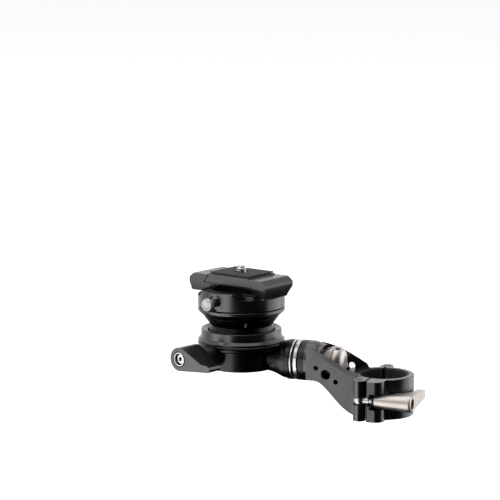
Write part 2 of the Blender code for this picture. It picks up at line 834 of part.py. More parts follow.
def pan_centre_bolt():
    profile = [
        (0, 40.2),
        (3.6, 40.2),
        (4.0, 39.8),
        (4.0, 20.1),
        (6.6, 20.1),
        (6.6, 14.4),
        (6.2, 14.0),
        (0, 14.0),
    ]
    bolt = turned("pan_centre_bolt", BALL, profile, DARK_STEEL, steps=24)
    cut(bolt, rod("centre_bolt_socket", BALL, 3.4, 10, 17.5, segments=6))
    return bolt


def pan_bearings():
    turned("pan_retainer", BALL, ring_profile(4.3, RETAINER_RADIUS, 39.1, 40.4), STEEL, steps=28)
    turned("pan_bearing_ring", BALL, ring_profile(19.8, 24.2, PAN_SEAM, 32.9), POLYMER, steps=28)


# Ball lock


def ball_brake_shoe():
    shoe = rod("ball_brake_shoe", LOCK, LOCK_SCREW_RADIUS, 18.0, 24.0, BRASS)
    cut(shoe, ball("shoe_face", TILT, BALL_RADIUS + GAP))
    return shoe


def ball_lock_screw():
    profile = [
        (0, 45.8),
        (3.6, 45.8),
        (4.1, 45.3),
        (4.1, 43.0),
        (LOCK_SCREW_RADIUS, 43.0),
        (LOCK_SCREW_RADIUS, 24.7),
        (LOCK_SCREW_RADIUS - 0.4, 24.3),
        (0, 24.3),
    ]
    screw = turned("ball_lock_screw", LOCK, profile, STEEL, steps=16)
    cut(screw, rod("lock_screw_tap", LOCK, 1.6, 38.0, 50, segments=12))
    return screw


def lever_end_screw():
    profile = [
        (0, 55.8),
        (2.7, 55.8),
        (3.1, 55.4),
        (3.1, 53.4),
        (1.3, 53.4),
        (1.3, 38.6),
        (0, 38.6),
    ]
    screw = turned("lever_end_screw", LOCK, profile, STEEL, steps=16)
    cut(screw, rod("lever_screw_socket", LOCK, 1.6, 54.2, 60, segments=6))
    return screw


def lever_spring():
    """The spring that draws the lever in, at the length it has with the lever pulled out."""
    radius, wire, turns, per_turn, sides = 2.55, 0.3, 2.5, 10, 6
    low, high = 51.3, 52.7
    count = int(turns * per_turn)
    form = bmesh.new()
    rings = []
    for index in range(count + 1):
        turn = Matrix.Rotation(math.tau * index / per_turn, 3, "Z")
        height = low + (high - low) * index / count
        ring = []
        for side in range(sides):
            angle = math.tau * side / sides
            across_wire = radius + wire * math.cos(angle)
            point = turn @ Vector((across_wire, 0, height + wire * math.sin(angle)))
            ring.append(form.verts.new(point * MM))
        rings.append(ring)
    for first, second in zip(rings, rings[1:]):
        for side in range(sides):
            after = (side + 1) % sides
            form.faces.new((first[side], first[after], second[after], second[side]))
    form.faces.new(rings[0])
    form.faces.new(rings[-1])
    return place("lever_spring", mesh_of("lever_spring", form), LOCK, STEEL)


def ball_lock_lever():
    """The teardrop lever: a (down, sideways) outline extruded along the lock's axis."""
    outline = arc((0, 0), LEVER_HUB_RADIUS, -210, 8, 20)
    outline += [(5.0, 24.0), (4.3, 25.0), (3.1, 25.3), (1.7, 24.6), (0.9, 23.0), (0.8, 18.6)]
    lever = prism("ball_lock_lever", LOCK, "XY", outline, HUB_BACK, HUB_FACE, BLACK)
    wedge = [(7.8, 30.0), (30.0, 30.0), (30.0, 47.5), (24.0, 47.0), (13.0, 43.2), (7.8, 41.2)]
    cut(lever, prism("lever_relief", LOCK, "YZ", wedge, -20, 20))
    cut(lever, rod("spline_bore", LOCK, 4.4, 30, 46.2, segments=16))
    cut(lever, rod("screw_bore", LOCK, 2.2, 40, 50, segments=12))
    cut(lever, rod("spring_bore", LOCK, 3.6, 47.8, 60, segments=16))
    cut(lever, rod("insert_bore", LOCK, 5.0, 55.1, 60, segments=24))
    return lever


def lever_insert():
    profile = ring_profile(3.6, 4.4, 55.4, HUB_FACE + 0.2, 0.25)
    return turned("lever_insert", LOCK, profile, STEEL, steps=24)


# Pan


def pan_body():
    """The rotating table, with the raised rim that holds the thumb screw."""
    profile = [
        (RETAINER_RADIUS + GAP, PAN_TOP),
        (20.4, PAN_TOP),
        (20.4, RIM_TOP),
        (PAN_RADIUS - 0.5, RIM_TOP),
        (PAN_RADIUS, RIM_TOP - 0.5),
        (PAN_RADIUS, PAN_SEAM + 0.4),
        (PAN_RADIUS - 0.4, PAN_SEAM),
        (24.5, PAN_SEAM),
        (24.5, 33.2),
        (19.5, 33.2),
        (19.5, PAN_SEAM),
        (HUB_RADIUS + GAP, PAN_SEAM),
        (HUB_RADIUS + GAP, 38.8),
        (RETAINER_RADIUS + GAP, 38.8),
    ]
    body = turned("pan_body", PAN, profile, BLACK, steps=44)
    slope = [(-16.0, PAN_TOP - 1), (-11.4, 44), (11.4, 44), (16.0, PAN_TOP - 1)]
    above = block("above_table", PAN, (-40, -40, PAN_TOP), (40, 40, 43.9))
    cut(above, prism("rim_ends", PAN, "XZ", slope, -41, -5))
    cut(body, above)
    cut(body, rod("pan_screw_hole", PAN_KNOB, 1.7, 5, 40, segments=12))
    cut(body, rod("pan_spotface", PAN_KNOB, 4.9, 25.4, 40, segments=24))
    for index, (u, v) in enumerate(clamp_screw_places()):
        cut(body, rod(f"clamp_screw_hole_{index + 1}", PAN, 1.55, 30, 45, segments=12, at=(u, v)))
        cut(body, rod(f"clamp_screw_seat_{index + 1}", PAN, 2.6, 30, 34.7, segments=12, at=(u, v)))
    cut(body, block("key_slot", PAN, key_box(GAP)[0], key_box(GAP)[1]))
    return body


def key_box(room):
    """The locating key's corners; room widens them into the slot it lies in."""
    low = (9.0 - room, -13.4 - room, 38.9 - room)
    high = (20.0 + room, -11.6 + room, 40.9 + room)
    return low, high


def clamp_screw_places():
    return [(-11.5, -6.2), (-11.5, 6.2), (14.5, -8.0), (14.5, 8.0)]


def clamp_screws():
    for index, (u, v) in enumerate(clamp_screw_places()):
        name = f"clamp_screw_{index + 1}"
        profile = [
            (0, 43.0),
            (1.25, 43.0),
            (1.25, 34.4),
            (2.3, 34.4),
            (2.3, 32.4),
            (0, 32.4),
        ]
        screw = turned(name, PAN, profile, DARK_STEEL, steps=12)
        screw.location = (u * MM, v * MM, 0)


def pan_brake_shoe():
    shoe = rod("pan_brake_shoe", PAN_KNOB, 1.4, HUB_RADIUS - 2, 13.0, BRASS, segments=12)
    cut(shoe, rod("shoe_hollow", PAN, HUB_RADIUS + GAP, 20, 50, segments=32))
    return shoe


def pan_lock_knob():
    profile = [
        (0, 34.8),
        (3.6, 34.8),
        (4.2, 34.3),
        (4.2, 32.7),
        (3.8, 32.2),
        (2.6, 32.0),
        (2.6, 25.8),
        (1.4, 25.8),
        (1.4, 13.3),
        (0, 13.3),
    ]
    return turned("pan_lock_knob", PAN_KNOB, profile, STEEL, steps=24)


# Quick release clamp


def undercut(name, side):
    """The wedge taken from under the clamp's long faces, on the side +1 or -1."""
    outline = [
        (side * 15, 38),
        (side * 11.8, 38),
        (side * 11.8, 41.0),
        (side * CLAMP_HALF_LENGTH, 46.3),
        (side * 15, 46.3),
    ]
    return prism(name, PAN, "YZ", outline, -40, 40)


def quick_release_body():
    half = CLAMP_HALF_LENGTH
    outline = [
        (JAW_SPLIT, CLAMP_BOTTOM),
        (27.3, CLAMP_BOTTOM),
        (27.6, 41.0),
        (FIXED_SIDE, 46.3),
        (FIXED_SIDE, 49.2),
        (26.4, CLAMP_TOP),
        (JAW_LIP, CLAMP_TOP),
        (JAW_LIP, 50.4),
        (JAW_UNDERCUT, 47.6),
        (JAW_UNDERCUT, CHANNEL_FLOOR),
        (JAW_SPLIT, CHANNEL_FLOOR),
    ]
    body = prism("quick_release_body", PAN, "XZ", outline, -half, half, BLACK)
    cut(body, undercut("body_undercut_front", -1), undercut("body_undercut_back", 1))
    cut(body, rod("retainer_room", PAN, RETAINER_RADIUS + GAP, 30, 40.7, segments=28))
    cut(body, rod("jaw_screw_tap", JAW_SCREW, 2.5, -16, 20))
    for name, v in (("front", -10.2), ("back", 10.2)):
        cut(body, rod(name + "_pin_hole", JAW_SCREW, 1.5, -3, 20, segments=12, at=(0, -v)))
    for index, (u, v) in enumerate(clamp_screw_places()):
        cut(body, rod(f"clamp_screw_tap_{index + 1}", PAN, 1.55, 30, 43.4, segments=12, at=(u, v)))
    cut(body, block("body_key_slot", PAN, key_box(GAP)[0], key_box(GAP)[1]))
    return body


def locating_key():
    low, high = key_box(0)
    return block("locating_key", PAN, low, high, STEEL)


def sliding_jaw():
    half = CLAMP_HALF_LENGTH
    left = JAW_SPLIT - GAP
    bottom = 40.6
    outline = [
        (left, bottom),
        (SLIDING_SIDE + 0.6, bottom),
        (SLIDING_SIDE, bottom + 0.6),
        (SLIDING_SIDE, 49.2),
        (-27.4, CLAMP_TOP),
        (-JAW_LIP, CLAMP_TOP),
        (-JAW_LIP, 50.4),
        (-JAW_UNDERCUT, 47.6),
        (-JAW_UNDERCUT, CHANNEL_FLOOR),
        (left, CHANNEL_FLOOR),
    ]
    jaw = prism("sliding_jaw", PAN, "XZ", outline, -half, half, BLACK)
    cut(jaw, undercut("jaw_undercut_front", -1), undercut("jaw_undercut_back", 1))
    cut(jaw, rod("jaw_screw_way", JAW_SCREW, 2.5, 10, 40))
    for name, v in (("front", -10.2), ("back", 10.2)):
        cut(jaw, rod(name + "_pin_way", JAW_SCREW, 1.5, 10, 26, segments=12, at=(0, -v)))
    return jaw


def jaw_guide_pins():
    for name, v in (("front", -10.2), ("back", 10.2)):
        rod(name + "_guide_pin", JAW_SCREW, 1.2, -2.6, 21.0, STEEL, segments=12, at=(0, -v))


def jaw_knob():
    knob = turned(
        "jaw_knob",
        JAW_SCREW,
        [
            (0, 38.6),
            (4.3, 38.6),
            (5.0, 37.9),
            (5.0, 34.2),
            (4.4, 33.6),
            (3.6, 33.6),
            (3.6, 31.4),
            (0, 31.4),
        ],
        BLACK,
        steps=32,
    )
    cut(knob, rod("knob_bore", JAW_SCREW, 2.5, 25, 37.0))
    turned(
        "jaw_screw",
        JAW_SCREW,
        [(0, 36.7), (2.2, 36.7), (2.2, -14.8), (1.8, -15.2), (0, -15.2)],
        STEEL,
        steps=16,
    )
    return knob


def quick_release_plate():
    half = CLAMP_HALF_LENGTH - GAP
    right = [(18.9, 46.9), (18.9, 47.7), (16.3, 50.3), (16.3, 52.6)]
    outline = right + [(-u, z) for u, z in right[::-1]]
    plate = prism("quick_release_plate", PAN, "XZ", outline, -half, half, BLACK)
    cut(plate, rod("plate_hole", PAN, 3.5, 40, 60))
    cut(plate, rod("plate_recess", PAN, 8.0, 40, 50.4, segments=28))
    return plate


def plate_pad():
    half = CLAMP_HALF_LENGTH - 1.2
    pad = block("plate_pad", PAN, (-15.4, -half, 52.9), (15.4, half, 53.8), RUBBER)
    cut(pad, rod("pad_hole", PAN, 4.2, 50, 60))
    return pad


def camera_screw():
    profile = [
        (0, 57.6),
        (2.8, 57.6),
        (3.15, 57.2),
        (3.15, 50.0),
        (7.4, 50.0),
        (7.7, 49.7),
        (7.7, 47.9),
        (7.4, 47.5),
        (0, 47.5),
    ]
    screw = turned("camera_screw", PAN, profile, STEEL, steps=28)
    cut(screw, block("coin_slot", PAN, (-9, -0.7, 45), (9, 0.7, 48.7)))
    return screw


def settle(obj):
    """Applies the modifiers and shades round surfaces smooth."""
    graph = bpy.context.evaluated_depsgraph_get()
    mesh = bpy.data.meshes.new_from_object(obj.evaluated_get(graph))
    mesh.name = obj.name
    obj.modifiers.clear()
    obj.data = mesh
    mesh.shade_smooth()
    mesh.set_sharp_from_angle(angle=math.radians(35))


clamp_bracket()
jaw_liner("fixed_jaw_liner", CLAMP, -20, SPLIT_X - SPLIT_HALF_GAP - 0.2)
moving_jaw()
jaw_liner("moving_jaw_liner", JAW, SPLIT_X + SPLIT_HALF_GAP + 0.2, 20)
hinge_pins()
swing_bolt()
bolt_end_screw()
lever_washer()
clamp_lever()
arm_joint()
tension_nut()
dome_nut()
base_body()
bottom_cover()
ball_collar()
ball_friction_ring()
tilt_ball()
pan_base()
pan_centre_bolt()
pan_bearings()
ball_brake_shoe()
ball_lock_screw()
lever_end_screw()
lever_spring()
ball_lock_lever()
lever_insert()
pan_body()
clamp_screws()
pan_brake_shoe()
pan_lock_knob()
quick_release_body()
locating_key()
sliding_jaw()
jaw_guide_pins()
jaw_knob()
quick_release_plate()
plate_pad()
camera_screw()
for part in PARTS.objects:
    if part.type == "MESH":
        settle(part)
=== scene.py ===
"""The ball head's looks: turned parts, threads, broken edges and finishes on the CAD model."""

import math

import bmesh
import bpy
from mathutils import Matrix, Vector
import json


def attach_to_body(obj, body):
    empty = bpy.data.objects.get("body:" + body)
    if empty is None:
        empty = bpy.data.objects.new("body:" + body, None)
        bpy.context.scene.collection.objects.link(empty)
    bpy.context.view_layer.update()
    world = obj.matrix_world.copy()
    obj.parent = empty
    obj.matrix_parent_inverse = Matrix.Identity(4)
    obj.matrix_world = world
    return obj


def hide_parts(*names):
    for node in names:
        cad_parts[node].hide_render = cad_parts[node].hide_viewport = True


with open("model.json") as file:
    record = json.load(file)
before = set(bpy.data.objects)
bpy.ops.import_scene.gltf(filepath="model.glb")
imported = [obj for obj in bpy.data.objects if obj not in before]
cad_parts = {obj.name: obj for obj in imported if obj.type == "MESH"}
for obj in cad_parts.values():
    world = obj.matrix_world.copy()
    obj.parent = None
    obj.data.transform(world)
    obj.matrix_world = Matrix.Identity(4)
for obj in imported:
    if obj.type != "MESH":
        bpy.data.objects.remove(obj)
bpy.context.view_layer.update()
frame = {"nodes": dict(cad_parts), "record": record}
NODES = frame["nodes"]
BODIES = frame["record"]["behaviour"]["bodies"]
MM = 0.001

BODY_OF = {node: body for body, nodes in BODIES.items() for node in nodes}
SLOT_OF = {part["node"]: part["material_slot"] for part in frame["record"]["subparts"]}

# The photograph's camera
CAMERA_PLACE = Vector((0.3307, -1.1496, 0.2819))
CAMERA_VIEW = Vector((-0.3377, 0.9277, -0.1590))
CAMERA_LENS = 142.2
SENSOR = 36.0

# The world: its tint, its radiance behind the object and on the camera's side, how far towards
# the camera that changes (-1 to 1), and the height (-1 to 1) at which it rises from a dark ground
WORLD_TINT = (0.97, 0.98, 1.0)
WORLD_GLOW = (1.15, 0.025)
WORLD_TURN = (-0.50, 0.25)
WORLD_RISE = (-0.55, -0.20)

# The floor's two tones, its glow, and its shape in metres: height, flat reach, bend and wall
FLOOR_TONES = ((0.66, 0.66, 0.66), (0.69, 0.69, 0.69))
FLOOR_GLOW = 0.80
FLOOR_Z, FLOOR_FLAT, FLOOR_BEND, FLOOR_TOP = -0.16, 2.4, 0.9, 2.4

# Soft lights: heading in degrees from +X, distance, height, width and tallness in metres, radiance
LIGHTS_AIM = Vector((-0.05, 0.0, 0.02))
SOFTBOXES = {
    "front_softbox": (-113, 1.2, -0.40, 0.5, 1.7, 2.3),
    "left_softbox": (-143, 1.2, -0.40, 0.85, 1.7, 2.5),
    "upper_softbox": (-120, 0.75, 0.80, 0.9, 0.8, 0.9),
    "side_softbox": (32, 1.2, 0.12, 1.3, 1.0, 1.5),
    "top_softbox": (-120, 0.15, 1.25, 1.4, 1.4, 1.5),
}

# Places in the model in millimetres, turns and headings in degrees
ARM_Z = 17.2
HEAD_X = -93.5
BOLT_X, BOLT_Y = -8.4, -23.0
BALL_HEIGHT, BALL_RADIUS = 12.0, 21.3
LOCK_HEIGHT, LOCK_HEADING = 6.3, 248.0
PAN_TURN, PAN_KNOB_HEIGHT, JAW_SCREW_HEIGHT = -18.5, 37.2, 43.5
ACCESSORY_X, ACCESSORY_Z = -33.5, 11.6
INDEX_HEADING = -63
CAMERA_THREAD_PITCH = 1.27


def axis_frame(x, y, z, heading=None, turn=0.0):
    """A place in the model. With a heading, its Z axis lies level, that many degrees from +X."""
    place = Matrix.Translation((x, y, z))
    if heading is None:
        return place @ Matrix.Rotation(math.radians(turn), 4, "Z")
    level = Matrix.Rotation(math.radians(90), 4, "Y")
    return place @ Matrix.Rotation(math.radians(heading), 4, "Z") @ level


ARM = axis_frame(0, 0, ARM_Z, heading=0)
BOLT = axis_frame(BOLT_X, BOLT_Y, 0, heading=0)
HEAD = axis_frame(HEAD_X, 0, ARM_Z)
PAN = axis_frame(HEAD_X, 0, ARM_Z, turn=PAN_TURN)
LOCK = axis_frame(HEAD_X, 0, ARM_Z + LOCK_HEIGHT, heading=LOCK_HEADING)
PAN_KNOB = axis_frame(HEAD_X, 0, ARM_Z + PAN_KNOB_HEIGHT, heading=PAN_TURN - 90)
JAW_SCREW = axis_frame(HEAD_X, 0, ARM_Z + JAW_SCREW_HEIGHT, heading=PAN_TURN + 180)
ACCESSORY = axis_frame(ACCESSORY_X, 0, ACCESSORY_Z, heading=-90)


# Materials


class Finish:
    """A material's node tree, with short calls for the nodes that the finishes share."""

    def __init__(self, name, colour, metallic, roughness):
        self.material = bpy.data.materials.new(name)
        self.material.use_nodes = True
        self.tree = self.material.node_tree
        self.shader = self.tree.nodes["Principled BSDF"]
        self.shader.inputs["Base Color"].default_value = (*colour, 1.0)
        self.shader.inputs["Metallic"].default_value = metallic
        self.shader.inputs["Roughness"].default_value = roughness
        self.place = self.tree.nodes.new("ShaderNodeTexCoord").outputs["Object"]

    def link(self, output, target):
        self.tree.links.new(output, target)

    def noise(self, size_mm, detail=3.0, place=None):
        node = self.tree.nodes.new("ShaderNodeTexNoise")
        node.inputs["Scale"].default_value = 1 / (size_mm * MM)
        node.inputs["Detail"].default_value = detail
        self.link(place or self.place, node.inputs["Vector"])
        return node.outputs["Fac"]

    def spread(self, value, low, high, start=0.3, end=0.7):
        """Maps the values from start to end, the middle of a noise, to those from low to high."""
        node = self.tree.nodes.new("ShaderNodeMapRange")
        node.inputs["From Min"].default_value = start
        node.inputs["From Max"].default_value = end
        node.inputs["To Min"].default_value = low
        node.inputs["To Max"].default_value = high
        self.link(value, node.inputs["Value"])
        return node.outputs["Result"]

    def maths(self, operation, first, second):
        node = self.tree.nodes.new("ShaderNodeMath")
        node.operation = operation
        for socket, value in zip(node.inputs, (first, second)):
            if isinstance(value, (int, float)):
                socket.default_value = value
            else:
                self.link(value, socket)
        return node.outputs["Value"]

    def vector(self, operation, first, second, result="Vector"):
        """Vector maths of an output with a second output, a vector or nothing."""
        node = self.tree.nodes.new("ShaderNodeVectorMath")
        node.operation = operation
        self.link(first, node.inputs[0])
        if isinstance(second, Vector):
            node.inputs[1].default_value = second
        elif second is not None:
            self.link(second, node.inputs[1])
        return node.outputs[result]

    def round_axis(self, axis):
        """A place as (height along the axis, distance from it), for marks that run round."""
        way = axis.to_3x3() @ Vector((0, 0, 1))
        offset = self.vector("SUBTRACT", self.place, axis.translation * MM)
        along = self.vector("DOT_PRODUCT", offset, way, "Value")
        away = self.vector("LENGTH", self.vector("CROSS_PRODUCT", offset, way), None, "Value")
        both = self.tree.nodes.new("ShaderNodeCombineXYZ")
        self.link(along, both.inputs["X"])
        self.link(away, both.inputs["Y"])
        return both.outputs["Vector"]

    def edge(self, width_mm):
        """Near 1 along edges and 0 on open faces."""
        bevel = self.tree.nodes.new("ShaderNodeBevel")
        bevel.samples = 4
        bevel.inputs["Radius"].default_value = width_mm * MM
        plain = self.tree.nodes.new("ShaderNodeNewGeometry").outputs["Normal"]
        dot = self.vector("DOT_PRODUCT", bevel.outputs["Normal"], plain, "Value")
        return self.spread(dot, 1.0, 0.0, 0.80, 0.98)

    def bump(self, height, strength, distance_mm):
        node = self.tree.nodes.new("ShaderNodeBump")
        node.inputs["Strength"].default_value = strength
        node.inputs["Distance"].default_value = distance_mm * MM
        self.link(height, node.inputs["Height"])
        self.link(node.outputs["Normal"], self.shader.inputs["Normal"])

    def tint(self, factor, first, second):
        """Sets the colour: first where the factor is 0 and second where it is 1."""
        mix = self.tree.nodes.new("ShaderNodeMix")
        mix.data_type = "RGBA"
        mix.inputs["A"].default_value = (*first, 1.0)
        mix.inputs["B"].default_value = (*second, 1.0)
        self.link(factor, mix.inputs["Factor"])
        self.link(mix.outputs["Result"], self.shader.inputs["Base Color"])

    def rough(self, value):
        self.link(value, self.shader.inputs["Roughness"])


def anodised(name, dark, light, roughness):
    """Bead-blasted aluminium, dyed: a fine grain, a faint mottle and rubbed edges."""
    rubbed_mm, rubbed_share = 0.25, 0.5
    mottle_mm, grain_mm, beads_mm, beads_depth_mm = 9.0, 0.35, 0.16, 0.012
    finish = Finish(name, dark, 1.0, roughness)
    rubbed = finish.maths("MULTIPLY", finish.edge(rubbed_mm), rubbed_share)
    finish.tint(rubbed, dark, light)
    mottle = finish.spread(finish.noise(mottle_mm), roughness - 0.03, roughness + 0.05)
    grain = finish.spread(finish.noise(grain_mm, 2.0), -0.03, 0.03)
    finish.rough(finish.maths("ADD", mottle, grain))
    finish.bump(finish.noise(beads_mm, 2.0), 0.22, beads_depth_mm)
    return finish.material


def turned_metal(name, colour, second, roughness, axis):
    """Bright metal with the fine lines of a lathe tool round its axis and handling marks."""
    rings_mm, rings_depth_mm, patches_mm, marks_mm = 0.18, 0.006, 3.5, 0.9
    finish = Finish(name, colour, 1.0, roughness)
    rings = finish.noise(rings_mm, 2.0, finish.round_axis(axis))
    finish.tint(finish.spread(finish.noise(patches_mm), 0.0, 1.0), colour, second)
    marks = finish.spread(finish.noise(marks_mm, 5.0), roughness - 0.04, roughness + 0.07)
    finish.rough(finish.maths("ADD", marks, finish.spread(rings, -0.03, 0.03)))
    finish.bump(rings, 0.30, rings_depth_mm)
    return finish.material


def moulded(name, colour, roughness, grain_mm, depth_mm):
    """Plastic or rubber with an even fine grain."""
    patches_mm, marks_mm = 5.0, 1.2
    finish = Finish(name, colour, 0.0, roughness)
    paler = tuple(channel * 1.6 + 0.004 for channel in colour)
    finish.tint(finish.spread(finish.noise(patches_mm), 0.0, 1.0), colour, paler)
    finish.rough(finish.spread(finish.noise(marks_mm), roughness - 0.06, roughness + 0.06))
    finish.bump(finish.noise(grain_mm, 2.0), 0.4, depth_mm)
    return finish.material


# By material slot, and by name for OWN_FINISH and the visual model's own pieces
FINISHES = {
    "black_anodised": anodised("black_satin", (0.078, 0.077, 0.081), (0.22, 0.22, 0.23), 0.26),
    # The ball's deeper black is painted shade, darkened as if it lay in shade from above
    "black_ball": anodised("black_ball", (0.022, 0.022, 0.023), (0.10, 0.10, 0.11), 0.30),
    "black_base": anodised("black_base", (0.036, 0.035, 0.037), (0.13, 0.13, 0.14), 0.29),
    # The quick release clamp's deeper black is painted shadow, as cast by a camera on the clamp
    "black_clamp": anodised("black_clamp", (0.052, 0.051, 0.054), (0.17, 0.17, 0.18), 0.27),
    "mark": moulded("mark_pale", (0.30, 0.30, 0.30), 0.5, 0.2, 0.01),
    "titanium_anodised": anodised(
        "titanium_satin", (0.50, 0.455, 0.425), (0.66, 0.61, 0.58), 0.40
    ),
    "black_polymer": moulded("polymer_black", (0.014, 0.014, 0.015), 0.42, 0.2, 0.01),
    "black_rubber": moulded("rubber_black", (0.018, 0.018, 0.018), 0.72, 0.25, 0.03),
}
# Colour, second colour and roughness of the turned metals
METALS = {
    "polished_steel": ((0.48, 0.48, 0.49), (0.56, 0.56, 0.57), 0.28),
    "black_oxide_steel": ((0.035, 0.034, 0.034), (0.06, 0.057, 0.055), 0.34),
    "brass": ((0.60, 0.44, 0.18), (0.68, 0.52, 0.24), 0.26),
}
# The pan's thumb screw is duller
KNOB_METAL = ((0.27, 0.27, 0.28), (0.40, 0.40, 0.41), 0.42)

# The axes of the turned metals and the nodes on each. Those not named are turned on the head's
AXES = {
    "arm": ARM,
    "head": HEAD,
    "lock": LOCK,
    "knob": PAN_KNOB,
    "bolt": BOLT,
    "jaw_screw": JAW_SCREW,
}
TURNED_ON = {
    "arm": "arm_spindle thrust_ring arm_friction_ring nut_spring_washer",
    "lock": "ball_brake_shoe ball_lock_screw lever_end_screw lever_spring lever_insert",
    "knob": "pan_brake_shoe pan_lock_knob",
    "bolt": "swing_bolt bolt_end_screw",
    "jaw_screw": "jaw_screw front_guide_pin back_guide_pin",
}
AXIS_OF = {node: axis for axis, nodes in TURNED_ON.items() for node in nodes.split()}

# Nodes whose black is deeper than their slot's. For the ball and the quick release clamp this
# deeper black is painted shade
OWN_FINISH = {
    # The ball's deeper black is painted shade
    "tilt_ball": "black_ball",
    "base_body": "black_base",
    # The quick release body, its sliding jaw and its plate: painted shadow, as cast by a camera on
    # the clamp
    "quick_release_body": "black_clamp",
    "sliding_jaw": "black_clamp",
    "quick_release_plate": "black_clamp",
}


def finish_of(node):
    """The node's material. A turned metal has one for each axis that it is turned on."""
    if node in OWN_FINISH:
        return FINISHES[OWN_FINISH[node]]
    slot = SLOT_OF[node]
    axis = AXIS_OF.get(node, "head")
    key = f"{slot}_{axis}" if slot in METALS else slot
    if key not in FINISHES:
        look = KNOB_METAL if axis == "knob" else METALS[slot]
        FINISHES[key] = turned_metal(key, *look, AXES[axis])
    return FINISHES[key]


# Pieces


def new_piece(name, form):
    """Makes an object of a mesh under construction."""
    bmesh.ops.recalc_face_normals(form, faces=form.faces[:])
    mesh = bpy.data.meshes.new(name)
    form.to_mesh(mesh)
    form.free()
    piece = bpy.data.objects.new(name, mesh)
    bpy.context.scene.collection.objects.link(piece)
    return piece


def bridge(form, rows, closed=True):
    """Adds the faces between each row of vertices and the next. Closed rows join their ends."""
    for first, second in zip(rows, rows[1:]):
        for i in range(len(first) if closed else len(first) - 1):
            j = (i + 1) % len(first)
            form.faces.new((first[i], second[i], second[j], first[j]))


def cap(form, rows):
    """Closes both ends of a bridged form."""
    form.faces.new(rows[0])
    form.faces.new(rows[-1])


def around(radius, angle, height):
    """A place on a circle round the Z axis."""
    return Vector((radius * math.cos(angle), radius * math.sin(angle), height))


def applied(obj):
    """Turns the object's modifiers into mesh."""
    bpy.context.view_layer.update()
    graph = bpy.context.evaluated_depsgraph_get()
    mesh = bpy.data.meshes.new_from_object(obj.evaluated_get(graph))
    obj.modifiers.clear()
    obj.data = mesh


def shade(obj, angle=38):
    """Smooth shading with sharp edges above the angle, and flat faces kept flat."""
    obj.data.shade_smooth()
    obj.data.set_sharp_from_angle(angle=math.radians(angle))
    weighted = obj.modifiers.new("face_weighted", "WEIGHTED_NORMAL")
    weighted.keep_sharp = True
    weighted.weight = 80
    applied(obj)


def attach(piece, node, finish=None):
    """Gives the piece the node's finish, or one by name, and lets it ride the node's body."""
    piece.data.materials.clear()
    piece.data.materials.append(FINISHES[finish] if finish else finish_of(node))
    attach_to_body(piece, BODY_OF[node])


STOOD_IN = set()


def stand_in(piece, node):
    """Shows the piece in the place of a CAD node."""
    attach(piece, node)
    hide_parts(node)
    STOOD_IN.add(node)


def cut(piece, *cutters):
    """Cuts the cutters out of the piece and removes them."""
    for cutter in cutters:
        boolean = piece.modifiers.new(cutter.name, "BOOLEAN")
        boolean.operation = "DIFFERENCE"
        boolean.object = cutter
    applied(piece)
    for cutter in cutters:
        bpy.data.objects.remove(cutter, do_unlink=True)


# Broken edges


def solid_of(node):
    """The CAD node's solid with its flat faces whole again."""
    form = bmesh.new()
    form.from_mesh(NODES[node].data)
    bmesh.ops.remove_doubles(form, verts=form.verts[:], dist=0.002 * MM)
    flat = math.radians(0.4)
    bmesh.ops.dissolve_limit(form, angle_limit=flat, verts=form.verts[:], edges=form.edges[:])
    return form


def soften(node, width_mm, cutters=()):
    """Stands in for a CAD node with the same solid, its edges broken by a small round."""
    piece = new_piece(node + "_rounded", solid_of(node))
    if cutters:
        cut(piece, *cutters)
    least_corner = math.radians(28)
    bevel = piece.modifiers.new("broken_edges", "BEVEL")
    bevel.width = width_mm * MM
    bevel.segments = 3
    bevel.limit_method = "ANGLE"
    bevel.angle_limit = least_corner
    bevel.miter_outer = "MITER_ARC"
    applied(piece)
    shade(piece)
    stand_in(piece, node)


# Turned pieces


def arc(centre, radius, start, end, count):
    """Points on a circle, from start to end in degrees."""
    angles = [math.radians(start + (end - start) * i / count) for i in range(count + 1)]
    return [(centre[0] + radius * math.cos(a), centre[1] + radius * math.sin(a)) for a in angles]


def eased(points, radius, closed):
    """The outline with a small curve in the place of each corner."""
    nearly_straight = math.radians(166)
    curve_steps = 4
    count = len(points)
    result = []
    for index, point in enumerate(points):
        here = Vector(point)
        back = Vector(points[index - 1]) - here
        ahead = Vector(points[(index + 1) % count]) - here
        at_end = not closed and index in (0, count - 1)
        if radius == 0 or at_end or back.angle(ahead) > nearly_straight:
            result.append(point)
            continue
        reach = min(radius, back.length * 0.45, ahead.length * 0.45)
        start, end = here + back.normalized() * reach, here + ahead.normalized() * reach
        for step in range(curve_steps + 1):
            share = step / curve_steps
            first, second = start.lerp(here, share), here.lerp(end, share)
            result.append(tuple(first.lerp(second, share)))
    return result


def lathe(name, axis, profile, steps=144, ease=0.25, flutes=0, depth=0.0, core=None):
    """Turns (radius, height) points round an axis. Flutes notch what lies outside the core."""
    on_axis = profile[0][0] == 0 and profile[-1][0] == 0
    profile = eased(profile, ease, closed=not on_axis)
    form = bmesh.new()
    rows = []
    for step in range(steps):
        angle = math.tau * step / steps
        notch = depth * (1 - math.cos(angle * flutes)) / 2
        row = []
        for radius, height in profile:
            if flutes and radius > core:
                radius = max(core, radius - notch)
            row.append(form.verts.new(axis @ around(radius, angle, height) * MM))
        rows.append(row)
    bridge(form, rows + rows[:1], closed=not on_axis)
    bmesh.ops.remove_doubles(form, verts=form.verts[:], dist=0.0001 * MM)
    return new_piece(name, form)


def turned(node, axis, profile, *cutters, **options):
    """Stands in for a CAD node with a turned piece, less its cutters."""
    piece = lathe(node + "_turned", axis, profile, **options)
    if cutters:
        cut(piece, *cutters)
    shade(piece)
    stand_in(piece, node)


def ring_profile(inner, outer, low, high, edge=0.2):
    """A ring's section, with a small chamfer on its outer edges."""
    return [
        (inner, high),
        (outer - edge, high),
        (outer, high - edge),
        (outer, low + edge),
        (outer - edge, low),
        (inner, low),
    ]


